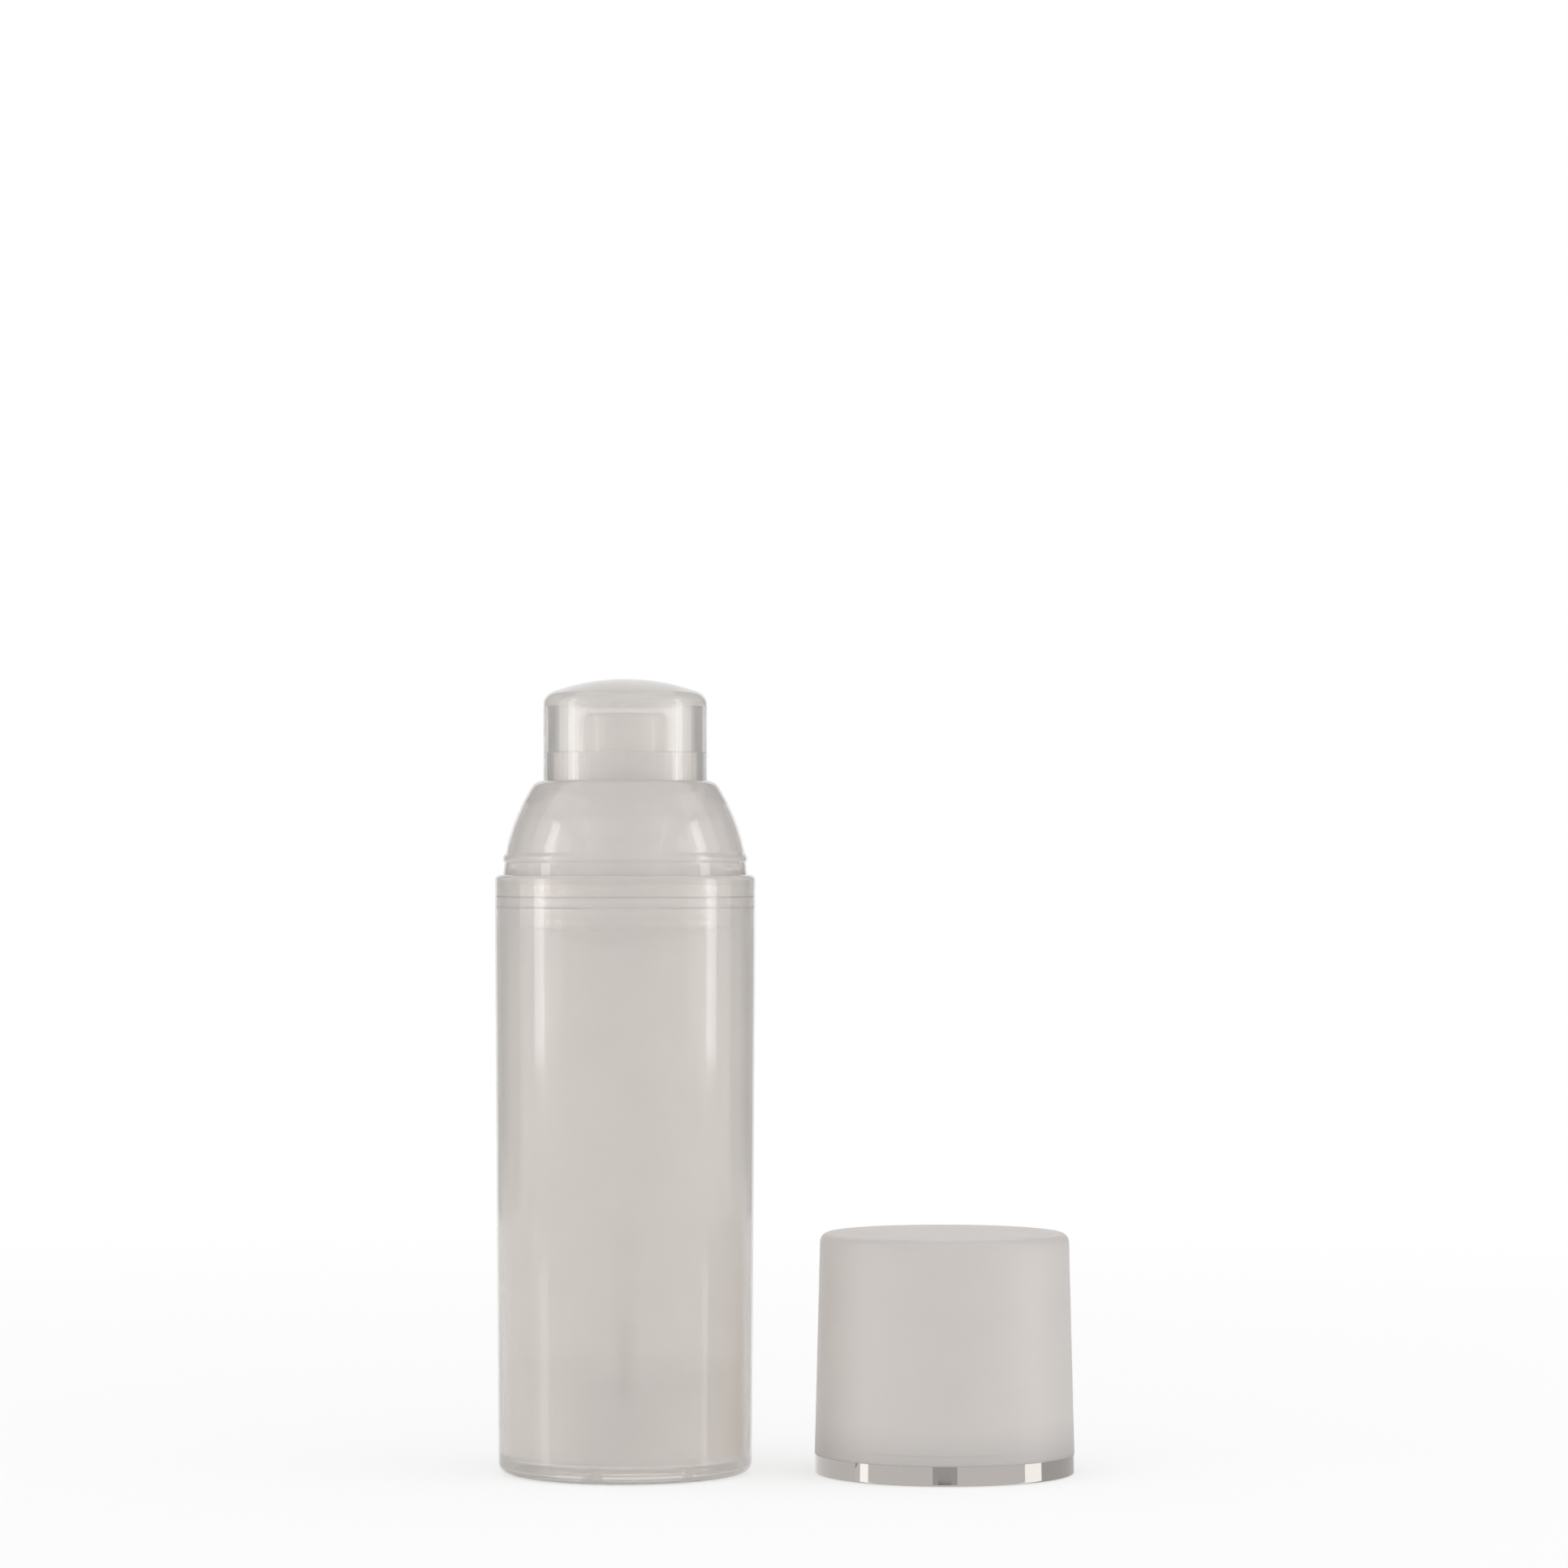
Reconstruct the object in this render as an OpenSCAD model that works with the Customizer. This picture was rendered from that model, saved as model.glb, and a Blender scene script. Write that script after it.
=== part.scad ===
// Airless pump bottle with a lift-off cap.
// The follower piston rises from the vented floor as the pump draws product out above it.
// Origin: middle of the bottle's flat base. +Z up, the nozzle faces +Y, the cap stands at +X.

/* [Bottle] */
// Outer diameter of the bottle at its neck
bottle_d = 37; // [35:0.25:41]
// Height of the bottle from its base to its rim
bottle_h = 84.8; // [60:0.2:120]
// Wall of the bottle at its neck
bottle_wall = 1.65; // [1.5:0.05:2.2]
// Radius that the outside loses from the neck down to the base
bottle_draft = 0.48; // [0:0.02:0.6]
// Height of the straight stretch below the rim
neck_h = 8.2; // [8:0.1:14]
// Thickness of the floor
floor_t = 2.2; // [1.6:0.1:4]
// Fillet round the foot
foot_fillet = 1.5; // [0.6:0.1:2]
// Fillet on the outside of the rim
rim_fillet = 0.75; // [0.2:0.05:0.9]
// Depth of the drain groove under the base
foot_groove = 0.6; // [0.3:0.1:1]
// Diameter of each vent hole in the floor
vent_d = 1; // [0.6:0.1:2]
// Number of vent holes
vent_count = 3; // [1:1:6]

/* [Follower piston] */
// Overall height of the follower piston
piston_h = 13; // [11:0.5:16]
// Height of each wiping lip
lip_h = 1.2; // [0.8:0.1:2]
// Depth of the dish in its crown
piston_dish = 2.5; // [1.5:0.1:3]
// Wall of the piston's skirt
piston_wall = 1.1; // [0.9:0.1:1.6]
// Number of ribs under the crown
piston_ribs = 6; // [3:1:12]

/* [Collar] */
// Height of the domed collar above the rim
collar_h = 13.4; // [12.6:0.1:16]
// Radius of the dome's outline
dome_r = 28; // [24:0.5:40]
// Fillet round the top of the dome
dome_fillet = 2; // [1.7:0.1:2.4]
// Wall of the dome
collar_wall = 1.6; // [1.2:0.1:2]
// Depth of the skirt that snaps into the bottle
skirt_depth = 7.4; // [7:0.1:7.9]
// Wall of that skirt
skirt_wall = 1.1; // [0.9:0.05:1.4]
// Height of the bead that holds the cap, above the rim
bead_z = 2.3; // [2:0.1:2.6]

/* [Pump] */
// Stroke of the button
stroke = 6; // [4:0.25:6.2]
// Outer diameter of the pump housing
housing_d = 15.2; // [14.8:0.1:15.6]
// Wall of the pump housing
housing_wall = 1.1; // [0.9:0.05:1.3]
// Diameter of each valve ball
ball_d = 3.8; // [3.4:0.1:4]
// Lift of each valve ball off its seat
ball_lift = 0.8; // [0.4:0.1:1]
// Number of folds in the bellows
folds = 5; // [4:1:6]
// Wall of the bellows, measured level
bellows_wall = 0.7; // [0.5:0.05:0.8]
// Outer diameter of the stem
stem_d = 8.8; // [8.4:0.1:9]
// Number of stiffening ribs on the pump base
deck_ribs = 8; // [4:1:16]

/* [Actuator] */
// Outer diameter of the button
button_d = 23.3; // [22.8:0.1:24.4]
// Height of the button's apex above the collar
button_h = 14.44; // [13.8:0.02:18]
// Radius of the domed top
crown_r = 30; // [24:1:60]
// Fillet round the top of the button
button_fillet = 2; // [1:0.1:2.4]
// Wall of the button above the core
button_wall = 1.75; // [1.5:0.05:2]
// Thickness of the button's top in the middle
crown_t = 2.74; // [2.4:0.02:3.2]
// Diameter of the boss that carries the nozzle
boss_d = 12; // [11:0.2:13]
// Diameter of the nozzle insert's face
nozzle_d = 3; // [2.6:0.1:3.4]
// Diameter of the orifice
orifice_d = 1; // [0.6:0.1:1.4]

/* [Cap] */
// Height of the cap
cap_h = 34; // [33:0.5:44]
// Wall of the cap at its mouth
cap_wall = 1.1; // [0.9:0.05:1.3]
// Radius that the outside loses from mouth to top
cap_draft = 0.85; // [0:0.05:1.2]
// Thickness of the cap's top
cap_top = 1.5; // [1:0.1:3]
// Fillet round the cap's top
cap_fillet = 1.3; // [0.5:0.1:1.4]
// Distance from the bottle's axis to the axis of the cap that stands beside it
cap_x = 45.3; // [42:0.1:80]
// How far the cap stands in front of the bottle's axis
cap_front = 2; // [0:0.5:20]

/* [Hidden] */
$fn = 96;
arc_steps = 8;
long_arc_steps = 20;
// How far a cutter runs past the face that it opens
past = 1;

// Clearances
press_gap = 0.03;
running_gap = 0.05;
wiper_gap = 0.06;
guide_gap = 0.25;
rest_gap = 0.1;
travel_gap = 0.25;

// Bottle
bottle_r = bottle_d / 2;
bore_r = bottle_r - bottle_wall;
foot_r = bottle_r - bottle_draft;
rim_z = bottle_h;
floor_fillet = 0.8;
// The piston's lower edge clears the floor's fillet
lip_chamfer = floor_fillet + 0.1;
rim_chamfer = 0.3;
groove_r = 13;
groove_w = 1.8;
vent_r = 6;

// Collar
snap_h = 1.5;
snap_z = rim_z - 3.85;
snap_out = 0.2;
snap_play = 0.1;
skirt_r = bore_r - 0.25;
skirt_in_r = skirt_r - skirt_wall;
skirt_z = rim_z - skirt_depth;
seal_z = skirt_z + 1.6;
seal_h = 0.7;
land_h = 1.2;
cap_gap = 0.05;
collar_foot_r = bottle_r - cap_wall - cap_gap;
collar_waist_r = collar_foot_r - 0.2;
bead_h = 1.4;
bead_out = 0.21;
opening_r = button_d / 2 + guide_gap;
collar_z = rim_z + collar_h;
guide_t = 1.2;
guide_h = 5.4;
ledge_t = 1.5;
ledge_w = 1.2;
clip_h = 0.6;
clip_out = 0.15;
clip_z = skirt_z + 0.9;

// Pump, from the bottom up
base_r = skirt_in_r - press_gap;
base_z = skirt_z + 0.1;
deck_t = 1.3;
deck_drop = piston_dish;
deck_flat_r = 5;
base_wall = 1.05;
ledge_z = rim_z - 0.5;
base_top_z = ledge_z - press_gap;
housing_r = housing_d / 2;
housing_in_r = housing_r - housing_wall;
housing_floor_z = base_z + 1.1;
seat_bore_r = 1.2;
ball_r = ball_d / 2;
ball_play = 0.4;
pocket_r = ball_r + ball_play;
inlet_seat_z = base_z - 0.2;
boss_wall = 1.3;
inlet_boss_r = pocket_r + boss_wall;
finger_h = 0.7;
finger_w = 1.2;
rib_t = 0.9;
deck_rib_h = 4.6;
ball_gap = 0.05;
// Height of a ball's centre above the lower edge of its 45 degree seat
ball_up = ball_r * sqrt(2) - seat_bore_r + ball_gap;
inlet_ball_z = inlet_seat_z + ball_up;
finger_z = inlet_ball_z + ball_r + ball_lift + ball_gap;

// Retainer, stem and bellows hang from the collar's height and the stroke
plate_z = collar_z + 2.15;
plate_t = 1.75;
retainer_t = 1.2;
retainer_z = plate_z - stroke - travel_gap;
housing_z = retainer_z - retainer_t;
stem_r = stem_d / 2;
socket_wall = 1.05;
socket_in_r = stem_r + running_gap;
socket_r = socket_in_r + socket_wall;
flange_r = housing_in_r - 0.3;
flange_t = 1.2;
flange_z = housing_z - rest_gap - flange_t;
spigot_r = 3.9;
spigot_h = 1.6;
spigot_bore_r = 2.4;
stem_top_z = plate_z - 0.75;
outlet_seat_z = flange_z + flange_t + 1.6;
outlet_ball_z = outlet_seat_z + ball_up;
outlet_stop_z = outlet_ball_z + ball_r + ball_lift + ball_gap;
lock_z = stem_top_z - 2.4;
lock_h = 0.6;
lock_deep = 0.25;
cuff_h = 1.2;
bellows_r = housing_in_r - 0.5;
fold_deep = 1.3;
hook_z = housing_z - 2.2;
hook_h = 0.8;
hook_deep = 0.25;
retainer_wall = 0.65;
retainer_skirt = 4.2;

// Actuator
button_r = button_d / 2;
button_z = collar_z - 2.6;
apex_z = collar_z + button_h;
ceiling_z = apex_z - crown_t;
upper_bore_r = button_r - button_wall;
core_step = 0.35;
lower_bore_r = upper_bore_r + core_step;
core_r = lower_bore_r - running_gap;
core_wall = 1.2;
core_z = button_z + 0.3;
plate_top_z = plate_z + plate_t;
boss_r = boss_d / 2;
socket_roof_z = stem_top_z + 0.3;
duct_r = 1.8;
duct_bore_r = 1.1;
nozzle_bore_r = 0.9;
nozzle_r = nozzle_d / 2;
orifice_r = orifice_d / 2;
// The orifice stays above the collar when the button is down
nozzle_z = collar_z + stroke + nozzle_r - 0.1;
boss_top_z = nozzle_z + duct_r + 0.3;
shank_r = 1.3;
shank_from = 7;
stop_r = 1.9;
stop_notch = 0.9;

// Cap
cap_r = bottle_r;
cap_in_r = cap_r - cap_wall;
cap_top_r = cap_r - cap_draft;
cap_bead_z = bead_z + bead_h;
cap_bead_out = 0.2;
cap_bead_h = 0.9;
cap_edge = 0.2;
cap_inner_fillet = 1;

// Colours of the natural and clear plastics
frosted = [0.8, 0.78, 0.76];
satin = [0.83, 0.81, 0.79];
clear = [0.9, 0.91, 0.92];
soft = [0.86, 0.84, 0.8];
glass = [0.75, 0.85, 0.85];

// Points of an arc about a centre from angle a0 to angle a1
function arc(c, r, a0, a1, n = arc_steps) =
    [for (i = [0:n]) let (a = a0 + (a1 - a0) * i / n) c + r * [cos(a), sin(a)]];

// Centre of a circle that lies at distance r1 from p1 and r2 from p2, on the axis side
function meet(p1, r1, p2, r2) =
    let (d = norm(p2 - p1), u = (p2 - p1) / d)
    let (a = (r1 * r1 - r2 * r2 + d * d) / (2 * d))
    p1 + a * u + sqrt(r1 * r1 - a * a) * [-u[1], u[0]];

// Direction in degrees from one point to another
function bearing(a, b) = atan2(b[1] - a[1], b[0] - a[0]);

// Outline points of one ring that stands out from, or sinks into, an upright wall
function ring(r, z, h, out) =
    [[r, z - h / 2], [r + out, z - h / 2 + abs(out)], [r + out, z + h / 2 - abs(out)], [r, z + h / 2]];

// The same points, walked downwards
function down(points) = [for (i = [len(points) - 1:-1:0]) points[i]];

module revolve(points) {
    rotate_extrude() polygon(points);
}

// A hollow cylinder between two radii
module tube(r_in, r_out, z0, z1) {
    revolve([[r_in, z0], [r_out, z0], [r_out, z1], [r_in, z1]]);
}

// Equal copies round the axis
module around(count) {
    for (i = [0:count - 1]) rotate(360 * i / count) children();
}

module bottle() {
    color(frosted) difference() {
        revolve(concat(
            [[0, 0]],
            arc([foot_r - foot_fillet, foot_fillet], foot_fillet, -90, 0),
            [[bottle_r, rim_z - neck_h]],
            arc([bottle_r - rim_fillet, rim_z - rim_fillet], rim_fillet, 0, 90),
            [[bore_r + rim_chamfer, rim_z], [bore_r, rim_z - rim_chamfer]],
            down(ring(bore_r, snap_z, snap_h + 2 * snap_play, snap_out)),
            down(arc([bore_r - floor_fillet, floor_t + floor_fillet], floor_fillet, -90, 0)),
            [[0, floor_t]]
        ));
        revolve([[groove_r - groove_w / 2, -past], [groove_r + groove_w / 2, -past],
            [groove_r + groove_w / 2, 0], [groove_r + groove_w / 2 - foot_groove / 2, foot_groove],
            [groove_r - groove_w / 2 + foot_groove / 2, foot_groove], [groove_r - groove_w / 2, 0]]);
        around(vent_count) translate([vent_r, 0, -past]) cylinder(d = vent_d, h = floor_t + 2 * past);
    }
}

// Double-lipped wiper with a dished crown that matches the underside of the pump base
module follower_piston() {
    lip_r = bore_r - wiper_gap;
    waist_r = lip_r - 0.6;
    inner_r = lip_r - piston_wall - 0.6;
    top = piston_h;
    crown_edge = top - 1.6;
    crown_t = 1.3;
    centre = top - piston_dish;
    flare = lip_h + 1.5;
    color(soft) translate([0, 0, floor_t + rest_gap]) {
        revolve([
            [inner_r, 0], [lip_r - lip_chamfer, 0], [lip_r, lip_chamfer],
            [lip_r, lip_chamfer + lip_h], [waist_r, lip_chamfer + flare],
            [waist_r, top - flare], [lip_r, top - lip_h], [lip_r, top],
            [lip_r - 0.7, top], [inner_r, crown_edge], [deck_flat_r, centre], [0, centre],
            [0, centre - crown_t], [deck_flat_r, centre - crown_t],
            [inner_r, crown_edge - crown_t]
        ]);
        around(piston_ribs) rotate([90, 0, 0]) translate([0, 0, -0.5]) linear_extrude(1)
            polygon([[deck_flat_r, centre - crown_t - 4], [inner_r + 0.5, centre - crown_t - 2],
                [inner_r + 0.5, crown_edge - crown_t], [inner_r, crown_edge - crown_t],
                [deck_flat_r, centre - crown_t + 0.1]]);
        tube(deck_flat_r - 1, deck_flat_r + 0.2, centre - crown_t - 4, centre - crown_t + 0.1);
    }
}

// Domed shoulder with the cap's bead, the button's guide and the skirt that snaps into the neck
module collar() {
    lip_c = [opening_r - 0.3, collar_z - dome_fillet];
    foot = [collar_waist_r - 0.15, rim_z + bead_z + bead_h / 2 + 0.1];
    dome_c = meet(foot, dome_r, lip_c, dome_r - dome_fillet);
    a_foot = bearing(dome_c, foot);
    a_lip = bearing(dome_c, lip_c);
    a_top = acos((opening_r - lip_c[0]) / dome_fillet);
    guide_r = opening_r + guide_t;
    inside_r = dome_r - collar_wall;
    a_guide = acos((guide_r - dome_c[0]) / inside_r);
    a_in = acos((skirt_in_r - dome_c[0]) / inside_r);
    guide_z = collar_z - guide_h;
    color(frosted) revolve(concat(
        // Skirt, from its lower edge up the outside
        [[skirt_in_r, skirt_z], [skirt_r - 0.4, skirt_z], [skirt_r, skirt_z + 0.4]],
        ring(skirt_r, seal_z, seal_h, bore_r - press_gap - skirt_r),
        ring(skirt_r, snap_z, snap_h, bore_r + snap_out - press_gap - skirt_r),
        [[skirt_r, rim_z - land_h - 0.2], [bore_r - press_gap, rim_z - land_h],
            [bore_r - press_gap, rim_z - rim_chamfer - 0.1], [skirt_r + 0.1, rim_z]],
        // Foot on the rim, bead and dome
        [[collar_foot_r, rim_z], [collar_waist_r, rim_z + bead_z - bead_h / 2]],
        arc([collar_waist_r + bead_out - 0.9, rim_z + bead_z], 0.9, -38, 38),
        arc(dome_c, dome_r, a_foot, a_lip, long_arc_steps),
        arc(lip_c, dome_fillet, a_lip, a_top),
        // Guide for the button, then down the inside to the ledge
        [[opening_r, guide_z], [guide_r, guide_z]],
        down(arc(dome_c, inside_r, a_in, a_guide, long_arc_steps)),
        [[skirt_in_r, ledge_z + ledge_t], [skirt_in_r - ledge_w, ledge_z + ledge_t],
            [skirt_in_r - ledge_w, ledge_z], [skirt_in_r, ledge_z]],
        down(ring(skirt_in_r, clip_z, clip_h, -clip_out))
    ));
}

// Disc that closes the chamber, with the pump housing and the inlet valve's seat in one moulding
module pump_base() {
    low = base_z - deck_drop;
    deck_top = housing_floor_z;
    deck_rise = deck_drop * (housing_r - deck_flat_r) / (base_r - deck_flat_r);
    color(satin) {
        revolve(concat(
            [[seat_bore_r, low], [deck_flat_r, low], [base_r, base_z]],
            ring(base_r, clip_z, clip_h + 0.2, -clip_out),
            [[base_r, base_top_z], [base_r - base_wall, base_top_z],
                [base_r - base_wall, base_z + deck_t],
                [housing_r, low + deck_t + deck_rise], [housing_r, hook_z - hook_h / 2]],
            ring(housing_r, hook_z, hook_h, -hook_deep),
            [[housing_r, housing_z], [housing_in_r, housing_z], [housing_in_r, deck_top],
                [inlet_boss_r, deck_top], [inlet_boss_r, finger_z + finger_h],
                [pocket_r, finger_z + finger_h],
                [pocket_r, inlet_seat_z + pocket_r - seat_bore_r], [seat_bore_r, inlet_seat_z]]
        ));
        around(deck_ribs) rotate([90, 0, 0]) translate([0, 0, -rib_t / 2]) linear_extrude(rib_t)
            polygon([[housing_r - 0.3, low + deck_t], [base_r - base_wall + 0.3, base_z + deck_t / 2],
                [base_r - base_wall + 0.3, base_z + deck_rib_h], [housing_r - 0.3, base_z + deck_rib_h]]);
        // Fingers that keep the ball in its pocket
        around(3) intersection() {
            tube(seat_bore_r, pocket_r + 0.2, finger_z, finger_z + finger_h);
            translate([0, -finger_w / 2, finger_z]) cube([pocket_r + past, finger_w, finger_h]);
        }
    }
}

module inlet_ball() {
    color(glass) translate([0, 0, inlet_ball_z]) sphere(r = ball_r);
}

module outlet_ball() {
    color(glass) translate([0, 0, outlet_ball_z]) sphere(r = ball_r);
}

// Plastic bellows: the dosing chamber and the return spring in one
module bellows() {
    z0 = housing_floor_z;
    z1 = flange_z;
    crest = bellows_r;
    root = bellows_r - fold_deep;
    from = z0 + cuff_h;
    pitch = (z1 - cuff_h - from) / folds;
    wave = [for (i = [0:folds - 1]) each [[root, from + i * pitch], [crest, from + (i + 0.5) * pitch]]];
    outside = concat(wave, [[root, z1 - cuff_h]]);
    inside = [for (p = outside) [p[0] - bellows_wall, p[1]]];
    low_r = inlet_boss_r + press_gap;
    high_r = spigot_r + press_gap;
    color(soft) revolve(concat(
        [[low_r, z0], [crest, z0], [crest, from]],
        outside,
        [[crest, z1 - cuff_h], [crest, z1], [high_r, z1], [high_r, z1 - cuff_h]],
        down(inside),
        [[low_r, from]]
    ));
}

// Stem: carries the outlet valve and lets the actuator turn on it
module stem() {
    color(satin) revolve(concat(
        [[spigot_bore_r, flange_z - spigot_h], [spigot_r, flange_z - spigot_h],
            [spigot_r, flange_z], [flange_r, flange_z], [flange_r, flange_z + flange_t],
            [stem_r, flange_z + flange_t]],
        ring(stem_r, lock_z, lock_h + 0.2, -lock_deep),
        [[stem_r, stem_top_z - 0.3], [stem_r - 0.3, stem_top_z], [pocket_r, stem_top_z],
            [pocket_r, outlet_seat_z + pocket_r - seat_bore_r], [seat_bore_r, outlet_seat_z],
            [seat_bore_r, outlet_seat_z - 1.1], [spigot_bore_r, outlet_seat_z - 1.1]]
    ));
}

// Ring that hooks over the housing and keeps the stem's flange in
module retainer_ring() {
    in_r = housing_r + press_gap;
    out_r = in_r + retainer_wall;
    hole_r = socket_r + guide_gap;
    color(satin) revolve(concat(
        [[hole_r, housing_z], [in_r, housing_z]],
        down(ring(in_r, hook_z, hook_h - 0.2, -hook_deep)),
        [[in_r, retainer_z - retainer_skirt], [out_r, retainer_z - retainer_skirt],
            [out_r, retainer_z - 0.3], [out_r - 0.3, retainer_z], [hole_r, retainer_z]]
    ));
}

// Inner actuator: plate, skirt, stem socket, and the boss and duct that lead to the nozzle
module actuator_core() {
    edge = 0.8;
    color(satin) difference() {
        union() {
            revolve(concat(
                [[socket_in_r, flange_z + flange_t], [socket_r, flange_z + flange_t],
                    [socket_r, plate_z], [core_r - core_wall, plate_z],
                    [core_r - core_wall, core_z], [core_r, core_z], [core_r, plate_top_z],
                    [boss_r, plate_top_z]],
                arc([boss_r - edge, boss_top_z - edge], edge, 0, 90),
                [[0, boss_top_z], [0, socket_roof_z], [socket_in_r, socket_roof_z]],
                down(ring(socket_in_r, lock_z, lock_h, -lock_deep))
            ));
            translate([0, boss_r / 2, nozzle_z]) rotate([-90, 0, 0])
                cylinder(r = duct_r, h = upper_bore_r - rest_gap - 0.2 - boss_r / 2);
            translate([0, 0, outlet_stop_z])
                cylinder(r = stop_r, h = socket_roof_z - outlet_stop_z + 0.2);
        }
        // Notches let the product past the lifted ball
        around(3) translate([0, -stop_notch / 2, outlet_stop_z - past])
            cube([stop_r + past, stop_notch, past + (socket_roof_z - outlet_stop_z) * 0.7]);
        translate([0, 0, outlet_stop_z - past])
            cylinder(r = duct_bore_r, h = nozzle_z + duct_bore_r - outlet_stop_z + past);
        translate([0, 0, nozzle_z]) rotate([-90, 0, 0]) cylinder(r = nozzle_bore_r, h = shank_from + past);
        translate([0, shank_from, nozzle_z]) rotate([-90, 0, 0])
            cylinder(r = shank_r + press_gap, h = upper_bore_r);
    }
}

// Clear outer button with a domed top
module button() {
    fillet_in = 1.2;
    fillet_cr = button_r - button_fillet;
    crown_c = [0, apex_z - crown_r];
    fillet_cz = crown_c[1] + sqrt(pow(crown_r - button_fillet, 2) - pow(fillet_cr, 2));
    a = bearing(crown_c, [fillet_cr, fillet_cz]);
    color(clear) difference() {
        revolve(concat(
            [[lower_bore_r, button_z], [button_r - 0.3, button_z], [button_r, button_z + 0.3]],
            arc([fillet_cr, fillet_cz], button_fillet, 0, a),
            arc(crown_c, crown_r, a, 90, long_arc_steps),
            [[0, ceiling_z]],
            down(arc([upper_bore_r - fillet_in, ceiling_z - fillet_in], fillet_in, 0, 90)),
            [[upper_bore_r, plate_top_z], [lower_bore_r, plate_top_z]]
        ));
        translate([0, 0, nozzle_z]) rotate([-90, 0, 0])
            cylinder(r = nozzle_r + press_gap, h = button_r + past);
    }
}

// Nozzle insert: a shank in the core's duct and a face in the wall of the button
module nozzle_insert() {
    head_y = upper_bore_r + rest_gap;
    face_y = button_r - 0.12;
    countersink = 0.4;
    color(frosted) translate([0, 0, nozzle_z]) rotate([-90, 0, 0]) revolve([
        [nozzle_bore_r, shank_from + rest_gap], [shank_r, shank_from + rest_gap],
        [shank_r, head_y], [nozzle_r, head_y], [nozzle_r, face_y],
        [orifice_r + countersink, face_y], [orifice_r, face_y - countersink],
        [orifice_r, head_y], [nozzle_bore_r, head_y - 0.6]
    ]);
}

// Closed cap, standing on its mouth beside the bottle
module cap() {
    in_top_r = cap_top_r - cap_wall;
    in_top = cap_h - cap_top;
    color(satin) translate([cap_x, -cap_front, 0]) revolve(concat(
        [[cap_in_r + cap_edge, 0], [cap_r - cap_edge, 0], [cap_r, cap_edge]],
        arc([cap_top_r - cap_fillet, cap_h - cap_fillet], cap_fillet, 0, 90),
        [[0, cap_h], [0, in_top]],
        down(arc([in_top_r - cap_inner_fillet, in_top - cap_inner_fillet], cap_inner_fillet, 0, 90)),
        down(ring(cap_in_r - 0.03, cap_bead_z, cap_bead_h, -cap_bead_out)),
        [[cap_in_r, cap_edge * 2]]
    ));
}

bottle();
follower_piston();
collar();
pump_base();
inlet_ball();
bellows();
stem();
outlet_ball();
retainer_ring();
actuator_core();
button();
nozzle_insert();
cap();
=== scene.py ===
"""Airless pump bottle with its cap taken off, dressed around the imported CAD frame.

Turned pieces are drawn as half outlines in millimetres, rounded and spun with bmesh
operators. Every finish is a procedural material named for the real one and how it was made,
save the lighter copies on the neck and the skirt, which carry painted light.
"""

from __future__ import annotations

import logging
import math
from dataclasses import dataclass
from enum import Enum

import bmesh
import bpy
from mathutils import Matrix, Vector


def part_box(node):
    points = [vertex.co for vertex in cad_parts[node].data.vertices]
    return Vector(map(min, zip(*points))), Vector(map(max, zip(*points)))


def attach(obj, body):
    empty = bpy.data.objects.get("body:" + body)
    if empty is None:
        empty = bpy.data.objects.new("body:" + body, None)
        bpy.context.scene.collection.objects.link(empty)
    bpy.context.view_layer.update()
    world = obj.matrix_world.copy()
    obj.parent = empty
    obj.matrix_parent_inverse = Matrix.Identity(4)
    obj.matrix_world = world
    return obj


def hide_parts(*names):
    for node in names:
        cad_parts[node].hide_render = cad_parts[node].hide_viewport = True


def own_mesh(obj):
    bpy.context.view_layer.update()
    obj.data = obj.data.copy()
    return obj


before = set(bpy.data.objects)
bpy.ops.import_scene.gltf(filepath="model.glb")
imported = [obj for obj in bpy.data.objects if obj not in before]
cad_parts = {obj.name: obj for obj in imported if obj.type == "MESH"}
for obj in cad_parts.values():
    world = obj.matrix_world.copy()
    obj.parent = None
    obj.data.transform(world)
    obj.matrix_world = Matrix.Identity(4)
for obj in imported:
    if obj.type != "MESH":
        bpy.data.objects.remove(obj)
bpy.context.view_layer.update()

LOG = logging.getLogger("airless_pump_bottle")
MM = 0.001
SPIN_STEPS = 160
HOLE_STEPS = 48
SHARP_DEGREES = 32.0
# Points of a spun mesh that lie closer than this are one
WELD_MM = 0.002
WHITE = (1.0, 1.0, 1.0, 1.0)
# Colour sockets of the Mix node, whose names it also gives to its other kinds of value
MIX_A, MIX_B, MIX_RESULT = 6, 7, 2
# Light that has seeped through a natural plastic is a shade warmer
SEEPED = (1.0, 0.997, 0.993, 1.0)
# Darkest and lightest of the clouds that the melt's flow leaves, against the resin's colour
CLOUD_DARK, CLOUD_LIGHT = 0.965, 1.03
# Heights over which the painted shade at a piece's foot fades out upwards
PAINTED_SHADE_FROM_MM, PAINTED_SHADE_TO_MM = 2.0, 9.0
# Size of the smears of handling, and their share of the roughness
SMEAR_MM, SMEAR_SHARE = 6.0, 0.12
# Radii that break the edges of a moulding, in millimetres
CRISP, EASED, SOFT = 0.1, 0.15, 0.2


def linear(hex_colour: str) -> tuple[float, float, float, float]:
    """Turns an sRGB hex colour into linear values.

    Args:
        hex_colour: Six hex digits, such as "cbc6c1".

    Returns:
        The linear red, green and blue, and full opacity.
    """
    parts = [int(hex_colour[i : i + 2], 16) / 255 for i in (0, 2, 4)]
    red, green, blue = (p / 12.92 if p <= 0.04045 else ((p + 0.055) / 1.055) ** 2.4 for p in parts)
    return (red, green, blue, 1.0)


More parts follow.
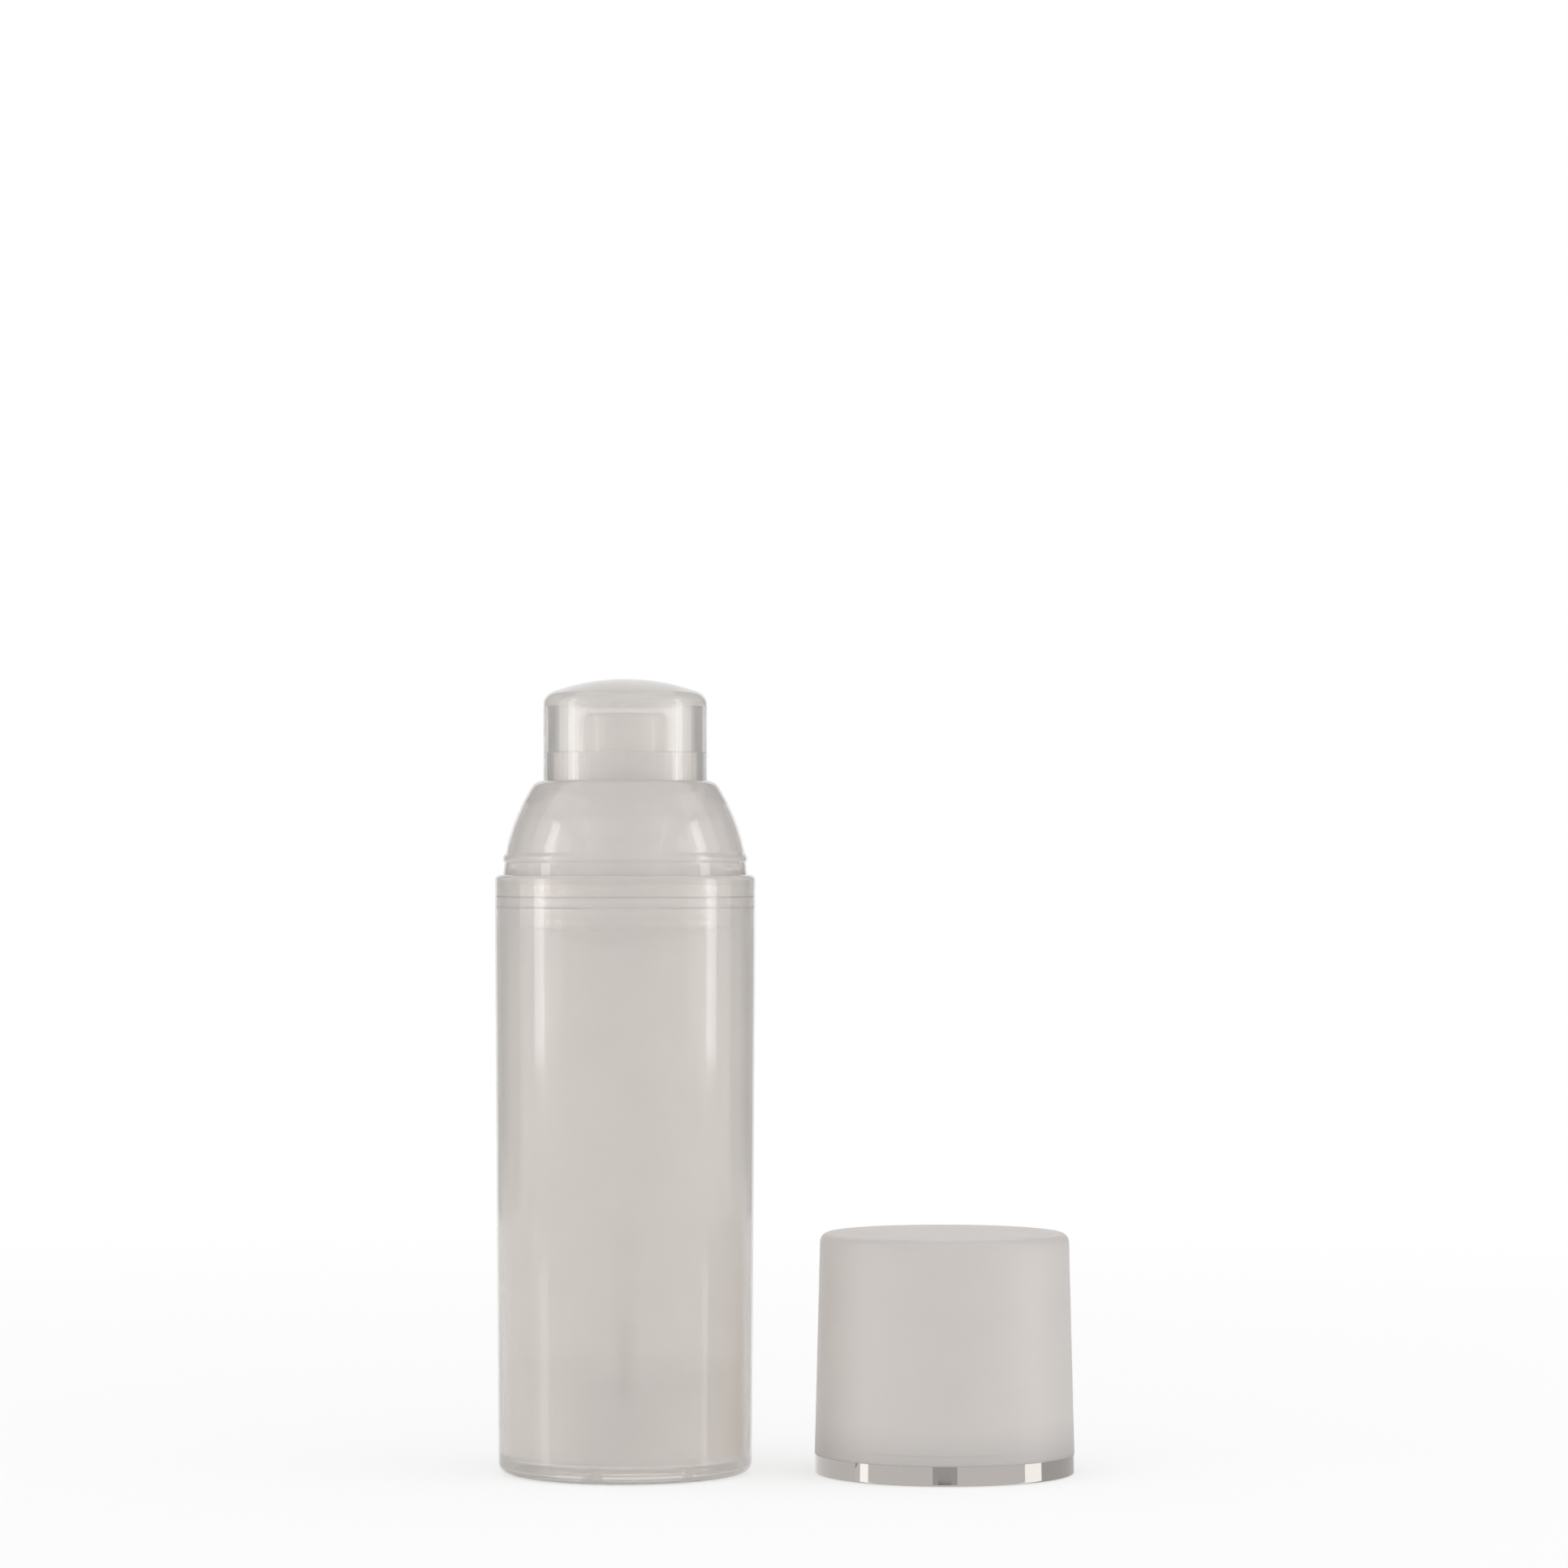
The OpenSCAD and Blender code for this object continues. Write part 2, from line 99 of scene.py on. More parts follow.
def add_node(
    tree: bpy.types.NodeTree, kind: str, inputs: dict | None = None, **settings: object
) -> bpy.types.Node:
    """Adds one shader node with its settings and links.

    Args:
        tree: Node tree that takes the node.
        kind: Blender's identifier of the node.
        inputs: Socket name or number to a value, or to an output socket that feeds it.
        settings: Properties of the node itself.

    Returns:
        The new node.
    """
    node = tree.nodes.new(kind)
    for name, value in settings.items():
        setattr(node, name, value)
    for name, value in (inputs or {}).items():
        if isinstance(value, bpy.types.NodeSocket):
            tree.links.new(value, node.inputs[name])
        else:
            node.inputs[name].default_value = value
    return node


def blank_material(name: str) -> bpy.types.Material:
    """Makes a node material with an empty tree.

    Args:
        name: What the material is called.

    Returns:
        The material.
    """
    material = bpy.data.materials.new(name)
    material.use_nodes = True
    material.node_tree.nodes.clear()
    return material


@dataclass(frozen=True)
class Finish:
    """A real material: colour, how much it lets through and how its surface was made.

    Attributes:
        name: Material and process, as the material is called.
        colour: sRGB hex of the resin where light bounces back.
        clarity: Share of the light that passes a wall.
        haze: Roughness that the mould's finish leaves, which blurs what is behind it.
        ior: Index of refraction.
        grain_mm: Size of the mould's texture, in millimetres.
        grain_depth_mm: Height of that texture.
        glow: Share of the lamps' light that seeps through each surface.
        metal: Share of a metallised face.
        gloss: Strength of the highlights, where 0.5 is what the index gives.
        mouth: Brightness left at the foot by painted shade that darkens a piece towards its mouth, 1 for
            none.
        cloud_mm: Size of the faint flow clouds in the resin.
    """

    name: str
    colour: str
    clarity: float
    haze: float
    ior: float
    grain_mm: float
    grain_depth_mm: float
    glow: float
    metal: float = 0.0
    gloss: float = 0.5
    mouth: float = 1.0
    cloud_mm: float = 9.0

    def build(self) -> bpy.types.Material:
        """Makes the material.

        Returns:
            A node material that reads Object coordinates.
        """
        material = blank_material(self.name)
        tree = material.node_tree
        place = add_node(tree, "ShaderNodeTexCoord").outputs["Object"]
        shader = add_node(
            tree,
            "ShaderNodeBsdfPrincipled",
            {
                "Base Color": self.tint(tree, place),
                "Roughness": self.smears(tree, place),
                "Normal": self.grain(tree, place),
                "IOR": self.ior,
                "Transmission Weight": self.clarity,
                "Metallic": self.metal,
                "Specular IOR Level": self.gloss,
            },
        )
        lamp = add_node(tree, "ShaderNodeLightPath").outputs["Is Shadow Ray"]
        share = add_node(tree, "ShaderNodeMath", {0: lamp, 1: self.glow}, operation="MULTIPLY")
        through = add_node(tree, "ShaderNodeBsdfTransparent", {"Color": SEEPED})
        mix = add_node(
            tree,
            "ShaderNodeMixShader",
            {"Fac": share.outputs[0], 1: shader.outputs["BSDF"], 2: through.outputs["BSDF"]},
        )
        add_node(tree, "ShaderNodeOutputMaterial", {"Surface": mix.outputs["Shader"]})
        return material

    def tint(self, tree: bpy.types.NodeTree, place: bpy.types.NodeSocket) -> bpy.types.NodeSocket:
        """Colour with the faint clouds that the melt's flow leaves, and painted shade at the foot where
        mouth is below 1.

        Args:
            tree: Node tree of the material.
            place: Object coordinates.

        Returns:
            The colour socket.
        """
        cloud = add_node(
            tree,
            "ShaderNodeTexNoise",
            {"Vector": place, "Scale": 1 / (self.cloud_mm * MM), "Detail": 3.0, "Roughness": 0.5},
        ).outputs["Fac"]
        base = linear(self.colour)
        darker = tuple(c * CLOUD_DARK for c in base[:3]) + (1.0,)
        lighter = tuple(min(1.0, c * CLOUD_LIGHT) for c in base[:3]) + (1.0,)
        clouded = add_node(
            tree, "ShaderNodeMix", {0: cloud, MIX_A: darker, MIX_B: lighter}, data_type="RGBA"
        ).outputs[MIX_RESULT]
        # Painted shade: below the heights set above, the colour darkens towards the foot, down to the
        # share that mouth gives
        if self.mouth == 1.0:
            return clouded
        height = add_node(tree, "ShaderNodeSeparateXYZ", {"Vector": place}).outputs["Z"]
        fade = add_node(
            tree,
            "ShaderNodeMapRange",
            {
                "Value": height,
                "From Min": PAINTED_SHADE_FROM_MM * MM,
                "From Max": PAINTED_SHADE_TO_MM * MM,
                "To Min": self.mouth,
            },
            interpolation_type="SMOOTHSTEP",
        ).outputs["Result"]
        return add_node(
            tree, "ShaderNodeVectorMath", {0: clouded, "Scale": fade}, operation="SCALE"
        ).outputs["Vector"]

    def smears(self, tree: bpy.types.NodeTree, place: bpy.types.NodeSocket) -> bpy.types.NodeSocket:
        """Roughness with the faint smears of handling.

        Args:
            tree: Node tree of the material.
            place: Object coordinates.

        Returns:
            The roughness socket.
        """
        smear = add_node(
            tree,
            "ShaderNodeTexNoise",
            {"Vector": place, "Scale": 1 / (SMEAR_MM * MM), "Detail": 5.0, "Distortion": 0.6},
        ).outputs["Fac"]
        spread = self.haze * SMEAR_SHARE
        return add_node(
            tree,
            "ShaderNodeMapRange",
            {"Value": smear, "To Min": self.haze - spread, "To Max": self.haze + spread},
        ).outputs["Result"]

    def grain(self, tree: bpy.types.NodeTree, place: bpy.types.NodeSocket) -> bpy.types.NodeSocket:
        """Surface relief that the mould leaves.

        Args:
            tree: Node tree of the material.
            place: Object coordinates.

        Returns:
            The normal socket.
        """
        pits = add_node(
            tree,
            "ShaderNodeTexNoise",
            {"Vector": place, "Scale": 1 / (self.grain_mm * MM), "Detail": 2.0, "Roughness": 0.6},
        ).outputs["Fac"]
        return add_node(
            tree,
            "ShaderNodeBump",
            {"Height": pits, "Distance": self.grain_depth_mm * MM, "Strength": 1.0},
        ).outputs["Normal"]


# Natural polypropylene from a polished mould: milky, with soft-edged upright highlights
NATURAL_PP = Finish(
    "polypropylene_injection_moulded",
    "e3dfdb",
    clarity=0.63, haze=0.06, ior=1.49,
    grain_mm=1.2, grain_depth_mm=0.001, glow=0.995, gloss=0.55,
)
# The neck, in a lighter, clearer and glossier copy of the bottle's resin: painted light that stands in for
# the brightness and doubled highlights of the skirt behind
LIGHTENED_NECK_PP = Finish(
    "polypropylene_neck_painted_light",
    "ebe7e4",
    clarity=0.7, haze=0.06, ior=1.49,
    grain_mm=1.2, grain_depth_mm=0.0008, glow=0.995, gloss=0.95,
)
# The collar's grade, a little lighter, from a finer polish: the dome's highlights end crisply
COLLAR_PP = Finish(
    "polypropylene_polished_mould",
    "e7e3e0",
    clarity=0.65, haze=0.05, ior=1.49,
    grain_mm=1.2, grain_depth_mm=0.0008, glow=0.995, gloss=0.55,
)
# The collar's skirt, in a lighter and glossier copy of the collar's resin: painted light whose tone and
# highlights brighten the neck
LIGHTENED_SKIRT_PP = Finish(
    "polypropylene_skirt_painted_light",
    "f1edea",
    clarity=0.66, haze=0.04, ior=1.49,
    grain_mm=1.2, grain_depth_mm=0.0006, glow=0.995, gloss=0.95,
)
# Natural polypropylene from a blasted mould: dry satin that spreads every highlight, with painted shade
# that darkens its foot
SATIN_PP = Finish(
    "polypropylene_blasted_mould",
    "e0dcd9",
    clarity=0.5, haze=0.42, ior=1.49,
    grain_mm=0.4, grain_depth_mm=0.004, glow=0.99, gloss=0.25, mouth=0.85,
)
# Clear copolymer from a polished mould: crisp edge lines and sharp highlights
CLEAR_COPOLYMER = Finish(
    "copolymer_polished_mould",
    "eeecea",
    clarity=0.95, haze=0.02, ior=1.5,
    grain_mm=1.6, grain_depth_mm=0.0005, glow=0.99,
)
# The same resin where the core pin was only stoned: a haze that softens what is inside
HAZY_COPOLYMER = Finish(
    "copolymer_stoned_core_pin",
    "efece9",
    clarity=0.7, haze=0.08, ior=1.5,
    grain_mm=0.8, grain_depth_mm=0.001, glow=0.99,
)
# The same resin under the crown, where the pin's end was spark eroded: an even frosted veil
FROSTED_COPOLYMER = Finish(
    "copolymer_spark_eroded_pin",
    "f0edea",
    clarity=0.3, haze=0.4, ior=1.5,
    grain_mm=0.5, grain_depth_mm=0.004, glow=0.99,
)
# Vacuum-metallised ring under clear lacquer: mirrors the lamps as bright upright bars
METALLISED = Finish(
    "aluminium_vacuum_metallised",
    "b6b1ad",
    clarity=0.0, haze=0.035, ior=1.5,
    grain_mm=2.5, grain_depth_mm=0.0004, glow=0.2, metal=1.0,
)
# Random copolymer of the inner actuator: milky and even, seen through the clear button
MILKY_COPOLYMER = Finish(
    "copolymer_as_moulded",
    "f7f5f2",
    clarity=0.05, haze=0.1, ior=1.49,
    grain_mm=0.8, grain_depth_mm=0.001, glow=0.995, gloss=0.8,
)
# Low-density polyethylene as moulded: waxy white with hardly any highlight
WAXY_PE = Finish(
    "polyethylene_as_moulded",
    "f5f3f0",
    clarity=0.1, haze=0.5, ior=1.51,
    grain_mm=0.5, grain_depth_mm=0.006, glow=0.995,
)
# Ground glass valve ball: clear and hard, with a pinpoint highlight
BALL_GLASS = Finish(
    "glass_ground_and_polished",
    "e6ecea",
    clarity=0.95, haze=0.02, ior=1.52,
    grain_mm=0.8, grain_depth_mm=0.0002, glow=0.95,
)


class Pen:
    """Draws a half outline in the XZ plane, in millimetres, with a spin for each arc."""

    def __init__(self, r: float, z: float) -> None:
        """Starts the outline.

        Args:
            r: Distance from the axis.
            z: Height.
        """
        self.mesh = bmesh.new()
        self.first = self.tip = self.mesh.verts.new((r * MM, 0.0, z * MM))
        self.fillets: list[tuple[bmesh.types.BMVert, float]] = []

    def line(self, r: float, z: float, fillet: float = 0.0) -> Pen:
        """Draws a straight line.

        Args:
            r: Distance of its end from the axis.
            z: Height of its end.
            fillet: Radius that later rounds the corner there.

        Returns:
            The pen.
        """
        self.tip = bmesh.ops.extrude_vert_indiv(self.mesh, verts=[self.tip])["verts"][0]
        self.tip.co = (r * MM, 0.0, z * MM)
        if fillet:
            self.fillets.append((self.tip, fillet))
        return self

    def arc(self, centre: tuple[float, float], degrees: float, steps: int) -> Pen:
        """Swings the tip about a centre, anticlockwise where degrees is above 0.

        Args:
            centre: Radius and height of the centre.
            degrees: Angle of the swing.
            steps: Number of chords.

        Returns:
            The pen.
        """
        made = bmesh.ops.spin(
            self.mesh,
            geom=[self.tip],
            cent=(centre[0] * MM, 0.0, centre[1] * MM),
            axis=(0.0, -1.0, 0.0),
            dvec=(0.0, 0.0, 0.0),
            angle=math.radians(degrees),
            steps=steps,
            use_duplicate=False,
        )
        self.tip = next(item for item in made["geom_last"] if isinstance(item, bmesh.types.BMVert))
        return self

    def ring(self, r: float, z: float, h: float, out: float, up: bool = True) -> Pen:
        """Draws a chamfered ring that stands out from, or sinks into, an upright wall.

        Args:
            r: Radius of the wall.
            z: Height of the ring's middle.
            h: Height of the ring.
            out: How far it stands out, below 0 where it points to the axis.
            up: True where the outline runs upwards.

        Returns:
            The pen.
        """
        way = 1 if up else -1
        flat = h / 2 - abs(out)
        self.line(r, z - way * h / 2).line(r + out, z - way * flat)
        return self.line(r + out, z + way * flat).line(r, z + way * h / 2)

    def spun(self, closed: bool, segments: int = 6) -> bmesh.types.BMesh:
        """Rounds the marked corners and spins the outline about the Z axis.

        Args:
            closed: True for a ring, False for an outline that starts and ends on the axis.
            segments: Faces across each fillet.

        Returns:
            The turned mesh.
        """
        if closed:
            self.mesh.edges.new((self.tip, self.first))
        for vert, radius in self.fillets:
            a, b = (edge.other_vert(vert).co - vert.co for edge in vert.link_edges)
            bmesh.ops.bevel(
                self.mesh,
                geom=[vert],
                offset=radius * MM / math.tan(a.angle(b) / 2),
                offset_type="OFFSET",
                segments=segments,
                profile=0.5,
                affect="VERTICES",
                material=-1,
            )
        bmesh.ops.spin(
            self.mesh,
            geom=self.mesh.verts[:] + self.mesh.edges[:],
            cent=(0.0, 0.0, 0.0),
            axis=(0.0, 0.0, 1.0),
            dvec=(0.0, 0.0, 0.0),
            angle=math.tau,
            steps=SPIN_STEPS,
            use_merge=True,
            use_duplicate=False,
        )
        bmesh.ops.remove_doubles(self.mesh, verts=self.mesh.verts, dist=WELD_MM * MM)
        return self.mesh


class Body(Enum):
    """CAD bodies that the new pieces ride on."""

    CONTAINER = "container"
    ACTUATOR = "actuator"
    LID = "lid"


@dataclass(frozen=True)
class Moulding:
    """One moulded piece that stands for a CAD node.

    Attributes:
        name: Name of the Blender object.
        node: CAD node that it replaces, also its material slot.
        body: CAD body that it rides on.
    """

    name: str
    node: str
    body: Body

    def cast(self, turned: bmesh.types.BMesh) -> bpy.types.Object:
        """Turns a finished bmesh into an object.

        Args:
            turned: The mesh, which is used up.

        Returns:
            The object, at the origin, with its place in its mesh.
        """
        bmesh.ops.recalc_face_normals(turned, faces=turned.faces)
        mesh = bpy.data.meshes.new(self.name)
        turned.to_mesh(mesh)
        turned.free()
        piece = bpy.data.objects.new(self.name, mesh)
        bpy.context.scene.collection.objects.link(piece)
        return piece

    def carve(self, piece: bpy.types.Object, cutters: list[bmesh.types.BMesh]) -> None:
        """Cuts shapes out of a piece.

        Args:
            piece: The piece that is cut.
            cutters: Closed meshes, which are used up.
        """
        tool_mesh = bpy.data.meshes.new("cutter")
        merged = bmesh.new()
        for cutter in cutters:
            cutter.to_mesh(tool_mesh)
            merged.from_mesh(tool_mesh)
            cutter.free()
        merged.to_mesh(tool_mesh)
        merged.free()
        tool = bpy.data.objects.new("cutter", tool_mesh)
        bpy.context.scene.collection.objects.link(tool)
        cut = piece.modifiers.new("cut", "BOOLEAN")
        cut.operation, cut.solver, cut.object = "DIFFERENCE", "EXACT", tool
        bpy.context.view_layer.update()
        graph = bpy.context.evaluated_depsgraph_get()
        result = bpy.data.meshes.new_from_object(piece.evaluated_get(graph), depsgraph=graph)
        piece.modifiers.clear()
        piece.data = result
        result.name = self.name
        bpy.data.objects.remove(tool)
        bpy.data.meshes.remove(tool_mesh)

    def finish(self, piece: bpy.types.Object, *materials: bpy.types.Material) -> bpy.types.Object:
        """Shades and dresses the piece, and ties it to the frame in place of its node.

        Args:
            piece: The piece.
            materials: Its finishes, in the order of its faces' slots.

        Returns:
            The same object.
        """
        shade(piece)
        for material in materials:
            piece.data.materials.append(material)
        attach(piece, self.body.value)
        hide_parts(self.node)
        LOG.info("%s: %d faces for node %s", self.name, len(piece.data.polygons), self.node)
        return piece


def shade(piece: bpy.types.Object) -> None:
    """Shades a piece smooth, keeps its hard edges and lets broad faces stay flat.

    Args:
        piece: Mesh object.
    """
    bm = bmesh.new()
    bm.from_mesh(piece.data)
    limit = math.radians(SHARP_DEGREES)
    for face in bm.faces:
        face.smooth = True
    for edge in bm.edges:
        edge.smooth = len(edge.link_faces) == 2 and edge.calc_face_angle(0.0) < limit
    bm.to_mesh(piece.data)
    bm.free()
    weighted = piece.modifiers.new("broad_faces_stay_flat", "WEIGHTED_NORMAL")
    weighted.keep_sharp = True


def peg(
    r: float, length: float, place: tuple[float, float, float], along_y: bool = False
) -> bmesh.types.BMesh:
    """Makes a closed cylinder that cuts a hole.

    Args:
        r: Radius in millimetres.
        length: Length in millimetres.
        place: Its middle, in millimetres.
        along_y: True where it lies along Y and not along Z.

    Returns:
        The cylinder's mesh.
    """
    bm = bmesh.new()
    bmesh.ops.create_cone(
        bm, cap_ends=True, segments=HOLE_STEPS, radius1=r * MM, radius2=r * MM, depth=length * MM
    )
    if along_y:
        bmesh.ops.rotate(bm, verts=bm.verts, matrix=Matrix.Rotation(math.radians(90), 3, "X"))
    bmesh.ops.translate(bm, verts=bm.verts, vec=Vector(place) * MM)
    return bm


def node_size(node: str) -> tuple[Vector, Vector]:
    """Lowest and highest corner of a CAD node, in millimetres."""
    low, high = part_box(node)
    return Vector(low) / MM, Vector(high) / MM


def meet(
    a: tuple[float, float], a_reach: float, b: tuple[float, float], b_reach: float
) -> tuple[float, float]:
    """Finds the centre of an arc from its distances to two points.

    Args:
        a: Radius and height of the first point.
        a_reach: Distance from it to the centre.
        b: Radius and height of the second point.
        b_reach: Distance from it to the centre.

    Returns:
        Radius and height of the centre, which lies to the left of the way from a to b.
    """
    gap = math.dist(a, b)
    r, z = (b[0] - a[0]) / gap, (b[1] - a[1]) / gap
    along = (gap**2 + a_reach**2 - b_reach**2) / (2 * gap)
    aside = math.sqrt(a_reach**2 - along**2)
    return (a[0] + along * r - aside * z, a[1] + along * z + aside * r)


def bearing(a: tuple[float, float], b: tuple[float, float]) -> float:
    """Angle of the way from one point to another above the horizontal, in degrees."""
    return math.degrees(math.atan2(b[1] - a[1], b[0] - a[0]))


@dataclass
class Container:
    """The bottle and the collar that is snapped into it, in millimetres and degrees."""

    # Bottle, with the neck that the skirt fills
    wall: float = 1.65
    draft: float = 0.48
    neck: float = 8.2
    floor: float = 2.2
    floor_fillet: float = 0.8
    foot_fillet: float = 1.5
    rim_fillet: float = 0.75
    rim_inner_fillet: float = 0.3
    # Groove and air vents under the floor
    groove_r: float = 13.0
    groove_half: float = 0.9
    groove_slope: float = 0.3
    groove_depth: float = 0.6
    vents: int = 3
    vent_r: float = 0.5
    vent_ring_r: float = 6.0
    cut_past: float = 1.4
    # Collar's skirt, with its seal ring, snap ring and land outside, and its clip ring inside
    press_gap: float = 0.03
    skirt_r: float = 16.6
    skirt_in_r: float = 15.5
    skirt_lead: float = 0.4
    seal_above_skirt: float = 1.6
    seal_height: float = 0.7
    snap_below_rim: float = 3.85
    snap_height: float = 1.5
    snap_out: float = 0.2
    snap_play: float = 0.2
    land: float = 1.2
    land_slope: float = 0.2
    land_below_rim: float = 1.3
    land_top: float = 0.4
    land_step: float = 0.1
    clip_above_skirt: float = 0.9
    clip_height: float = 0.6
    clip_in: float = 0.15
    # Ledge that the pump base rests under
    ledge_above_rim: float = 1.0
    ledge_below_rim: float = 0.5
    ledge_in: float = 1.2
    # Collar's foot on the rim, and the bead that holds the cap
    waist_r: float = 17.15
    waist_step: float = 0.2
    bead_above_rim: float = 2.3
    bead_half: float = 0.7
    bead_out: float = 0.21
    bead_arc_r: float = 0.9
    bead_half_angle: float = 38.0
    # Dome, its lip and the sleeve that guides the button
    collar_h: float = 13.4
    dome_r: float = 28.0
    dome_wall: float = 1.6
    dome_foot_in: float = 0.15
    dome_foot_up: float = 0.1
    lip_r: float = 2.0
    lip_out: float = 0.3
    guide_gap: float = 0.25
    guide_h: float = 5.4
    guide_wall: float = 1.2

    def bottle(self, *finishes: bpy.types.Material) -> bpy.types.Object:
        """Builds the drafted cup with its snap groove, foot groove and air vents.

        Args:
            finishes: Those of the body and of the neck that the collar's skirt fills, whose lighter copy
                paints in the skirt's light.

        Returns:
            The bottle.
        """
        _, high = node_size("bottle")
        outer, rim = high.x, high.z
        bore, foot = outer - self.wall, outer - self.draft
        inner, edge = self.groove_r - self.groove_half, self.groove_r + self.groove_half
        skirt_low, skirt_high = node_size("collar")[0].z, rim - self.land_below_rim
        pen = Pen(0.0, 0.0).line(inner, 0.0, CRISP)
        pen.line(inner + self.groove_slope, self.groove_depth, EASED)
        pen.line(edge - self.groove_slope, self.groove_depth, EASED).line(edge, 0.0, CRISP)
        pen.line(foot, 0.0, self.foot_fillet).line(outer, rim - self.neck)
        pen.line(outer, skirt_low).line(outer, skirt_high)
        pen.line(outer, rim, self.rim_fillet).line(bore, rim, self.rim_inner_fillet).line(bore, skirt_high)
        snap_room = self.snap_height + self.snap_play
        pen.ring(bore, rim - self.snap_below_rim, snap_room, self.snap_out, up=False)
        pen.line(bore, skirt_low).line(bore, self.floor, self.floor_fillet).line(0.0, self.floor)
        turned = pen.spun(closed=False)
        # The neck's faces beside the skirt take the lighter copy with its painted light
        for face in turned.faces:
            face.material_index = int(skirt_low < face.calc_center_median().z / MM < skirt_high)
        moulding = Moulding("bottle_wall", "bottle", Body.CONTAINER)
        piece = moulding.cast(turned)
        holes = []
        for i in range(self.vents):
            turn = math.tau / self.vents * i
            place = (self.vent_ring_r * math.cos(turn), self.vent_ring_r * math.sin(turn), self.floor / 2)
            holes.append(peg(self.vent_r, self.floor + 2 * self.cut_past, place))
        moulding.carve(piece, holes)
        return moulding.finish(piece, *finishes)

    def collar(self, *finishes: bpy.types.Material) -> bpy.types.Object:
        """Builds the domed shoulder with its skirt, rings, bead and guide sleeve.

        Args:
            finishes: Those of the dome and of the skirt below the rim, whose lighter copy paints light
                into the neck.

        Returns:
            The collar.
        """
        low, _ = node_size("collar")
        _, bottle = node_size("bottle")
        _, button = node_size("button")
        rim, fit = bottle.z, bottle.x - self.wall - self.press_gap
        skirt, inside = self.skirt_r, self.skirt_in_r
        pen = Pen(inside, low.z).line(skirt - self.skirt_lead, low.z).line(skirt, low.z + self.skirt_lead)
        pen.ring(skirt, low.z + self.seal_above_skirt, self.seal_height, fit - skirt)
        pen.ring(skirt, rim - self.snap_below_rim, self.snap_height, fit + self.snap_out - skirt)
        pen.line(skirt, rim - self.land - self.land_slope).line(fit, rim - self.land)
        pen.line(fit, rim - self.land_top).line(skirt + self.land_step, rim)
        pen.line(self.waist_r + self.waist_step, rim)
        pen.line(self.waist_r, rim + self.bead_above_rim - self.bead_half)
        bead = (self.waist_r + self.bead_out - self.bead_arc_r, rim + self.bead_above_rim)
        drop = math.radians(self.bead_half_angle)
        pen.line(bead[0] + self.bead_arc_r * math.cos(drop), bead[1] - self.bead_arc_r * math.sin(drop))
        pen.arc(bead, 2 * self.bead_half_angle, steps=8)
        opening, top = button.x + self.guide_gap, rim + self.collar_h
        lip = (opening - self.lip_out, top - self.lip_r)
        foot = (
            self.waist_r - self.dome_foot_in,
            rim + self.bead_above_rim + self.bead_half + self.dome_foot_up,
        )
        dome = meet(foot, self.dome_r, lip, self.dome_r - self.lip_r)
        to_foot, to_lip = bearing(dome, foot), bearing(dome, lip)
        pen.line(*foot).arc(dome, to_lip - to_foot, steps=28)
        pen.arc(lip, math.degrees(math.acos(self.lip_out / self.lip_r)) - to_lip, steps=10)
        sleeve, guide_low = opening + self.guide_wall, top - self.guide_h
        pen.line(opening, guide_low, SOFT).line(sleeve, guide_low, SOFT)
        ceiling_r = self.dome_r - self.dome_wall
        to_sleeve, to_skirt = (math.acos((r - dome[0]) / ceiling_r) for r in (sleeve, inside))
        pen.line(sleeve, dome[1] + ceiling_r * math.sin(to_sleeve))
        pen.arc(dome, math.degrees(to_skirt - to_sleeve), steps=20)
        ledge_r = inside - self.ledge_in
        pen.line(inside, rim + self.ledge_above_rim).line(ledge_r, rim + self.ledge_above_rim, EASED)
        pen.line(ledge_r, rim - self.ledge_below_rim, EASED).line(inside, rim - self.ledge_below_rim)
        pen.ring(inside, low.z + self.clip_above_skirt, self.clip_height, -self.clip_in, up=False)
        turned = pen.spun(closed=True)
        # The skirt's faces below the rim's land take the lighter copy with its painted light
        for face in turned.faces:
            face.material_index = int(face.calc_center_median().z < (rim - self.land_top) * MM)
        moulding = Moulding("collar_dome", "collar", Body.CONTAINER)
        return moulding.finish(moulding.cast(turned), *finishes)


@dataclass
class Pump:
    """The folded spring inside the pump housing, sizes in millimetres."""

    folds: int = 5
    fold_root: float = 4.7
    fold_wall: float = 0.7
    fold_fillet: float = 0.25
    cuff: float = 1.2
    inlet_fit_r: float = 3.63
    stem_fit_r: float = 3.93
    stroke: float = 6.0

    def bellows(self, material: bpy.types.Material) -> bpy.types.Object:
        """Builds the folded spring with rounded crests.

        Args:
            material: Its finish.

        Returns:
            The bellows.
        """
        low, high = node_size("bellows")
        crest, root = high.x, self.fold_root
        pitch = (high.z - low.z - 2 * self.cuff) / self.folds
        start, end = low.z + self.cuff, high.z - self.cuff
        pen = Pen(self.inlet_fit_r, low.z).line(crest, low.z, EASED).line(crest, start, EASED)
        for i in range(self.folds):
            pen.line(root, start + i * pitch, self.fold_fillet)
            pen.line(crest, start + (i + 0.5) * pitch, self.fold_fillet)
        pen.line(root, end, SOFT).line(crest, end, EASED).line(crest, high.z, EASED)
        pen.line(self.stem_fit_r, high.z).line(self.stem_fit_r, end)
        for i in reversed(range(self.folds)):
            pen.line(crest - self.fold_wall, start + (i + 0.5) * pitch, SOFT)
            pen.line(root - self.fold_wall, start + i * pitch, SOFT)
        pen.line(self.inlet_fit_r, start)
        moulding = Moulding("bellows_spring", "bellows", Body.CONTAINER)
        piece = moulding.finish(moulding.cast(pen.spun(closed=True, segments=3)), material)
        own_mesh(piece)
        return piece


